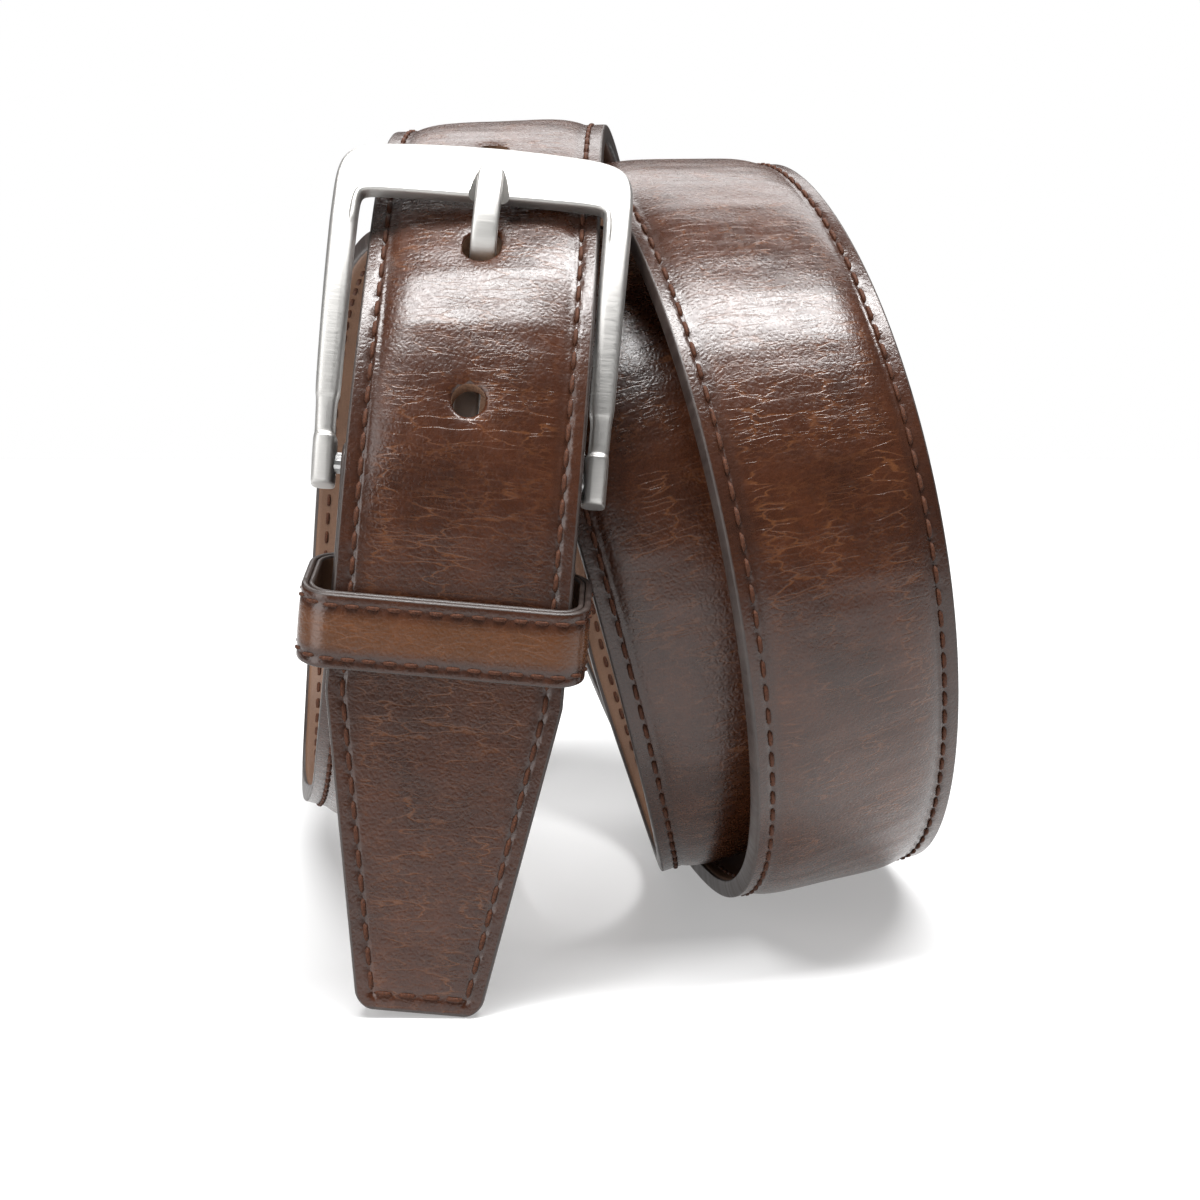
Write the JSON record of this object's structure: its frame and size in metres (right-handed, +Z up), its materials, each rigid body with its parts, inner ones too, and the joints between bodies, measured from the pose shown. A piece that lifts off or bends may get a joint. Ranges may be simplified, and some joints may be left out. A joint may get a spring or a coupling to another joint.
{
  "type": "leather belt",
  "caption": "Buckled dress belt of padded, stitched leather with a pin buckle and a keeper loop, coiled in turns and standing on its edge with the tip hanging in front.",
  "frame": {"origin": "middle of the bounding box, on the floor that the coiled belt stands on", "axes": "+Z up; +X to the right, along the coil's axis; -Y towards the front, where the buckle and the tip are"},
  "size_m": [0.1116, 0.1409, 0.1288],
  "materials": {
    "brown_leather": "satin, fine cross-wise creases",
    "lining_leather": "smooth matt",
    "thread": "matt twisted thread",
    "filler_pad": "matt pressed board",
    "satin_nickel": "satin brushed",
    "steel_wire": "plain drawn"
  },
  "bodies": {
    "strap": {"outer_leather": "brown_leather", "filler": "filler_pad", "lining": "lining_leather", "needle_thread": "thread", "bobbin_thread": "thread", "turnback_post_1": "satin_nickel", "turnback_post_2": "satin_nickel", "turnback_screw_1": "satin_nickel", "turnback_screw_2": "satin_nickel"},
    "buckle": {"buckle_frame": "satin_nickel", "heel_bar": "steel_wire"},
    "prong": {"prong": "satin_nickel"},
    "keeper": {"keeper_leather": "brown_leather", "keeper_lining": "lining_leather", "keeper_thread_upper": "thread", "keeper_thread_lower": "thread", "keeper_staple": "steel_wire"}
  },
  "joints": [
    {"name": "buckle_swing", "type": "hinge", "parent": "strap", "child": "buckle", "pos_m": [-0.0208, -0.0516, 0.0789], "axis": [0.9968, -0.0099, -0.0796], "range_deg": [0, 1.2]},
    {"name": "prong_lift", "type": "hinge", "parent": "buckle", "child": "prong", "pos_m": [-0.0208, -0.0516, 0.0789], "axis": [0.9968, -0.0099, -0.0796], "range_deg": [0, 1.2]},
    {"name": "keeper_slide", "type": "slide", "parent": "strap", "child": "keeper", "axis": [-0.0874, -0.114, -0.9896], "range_m": [-0.0006, 0.001]}
  ]
}
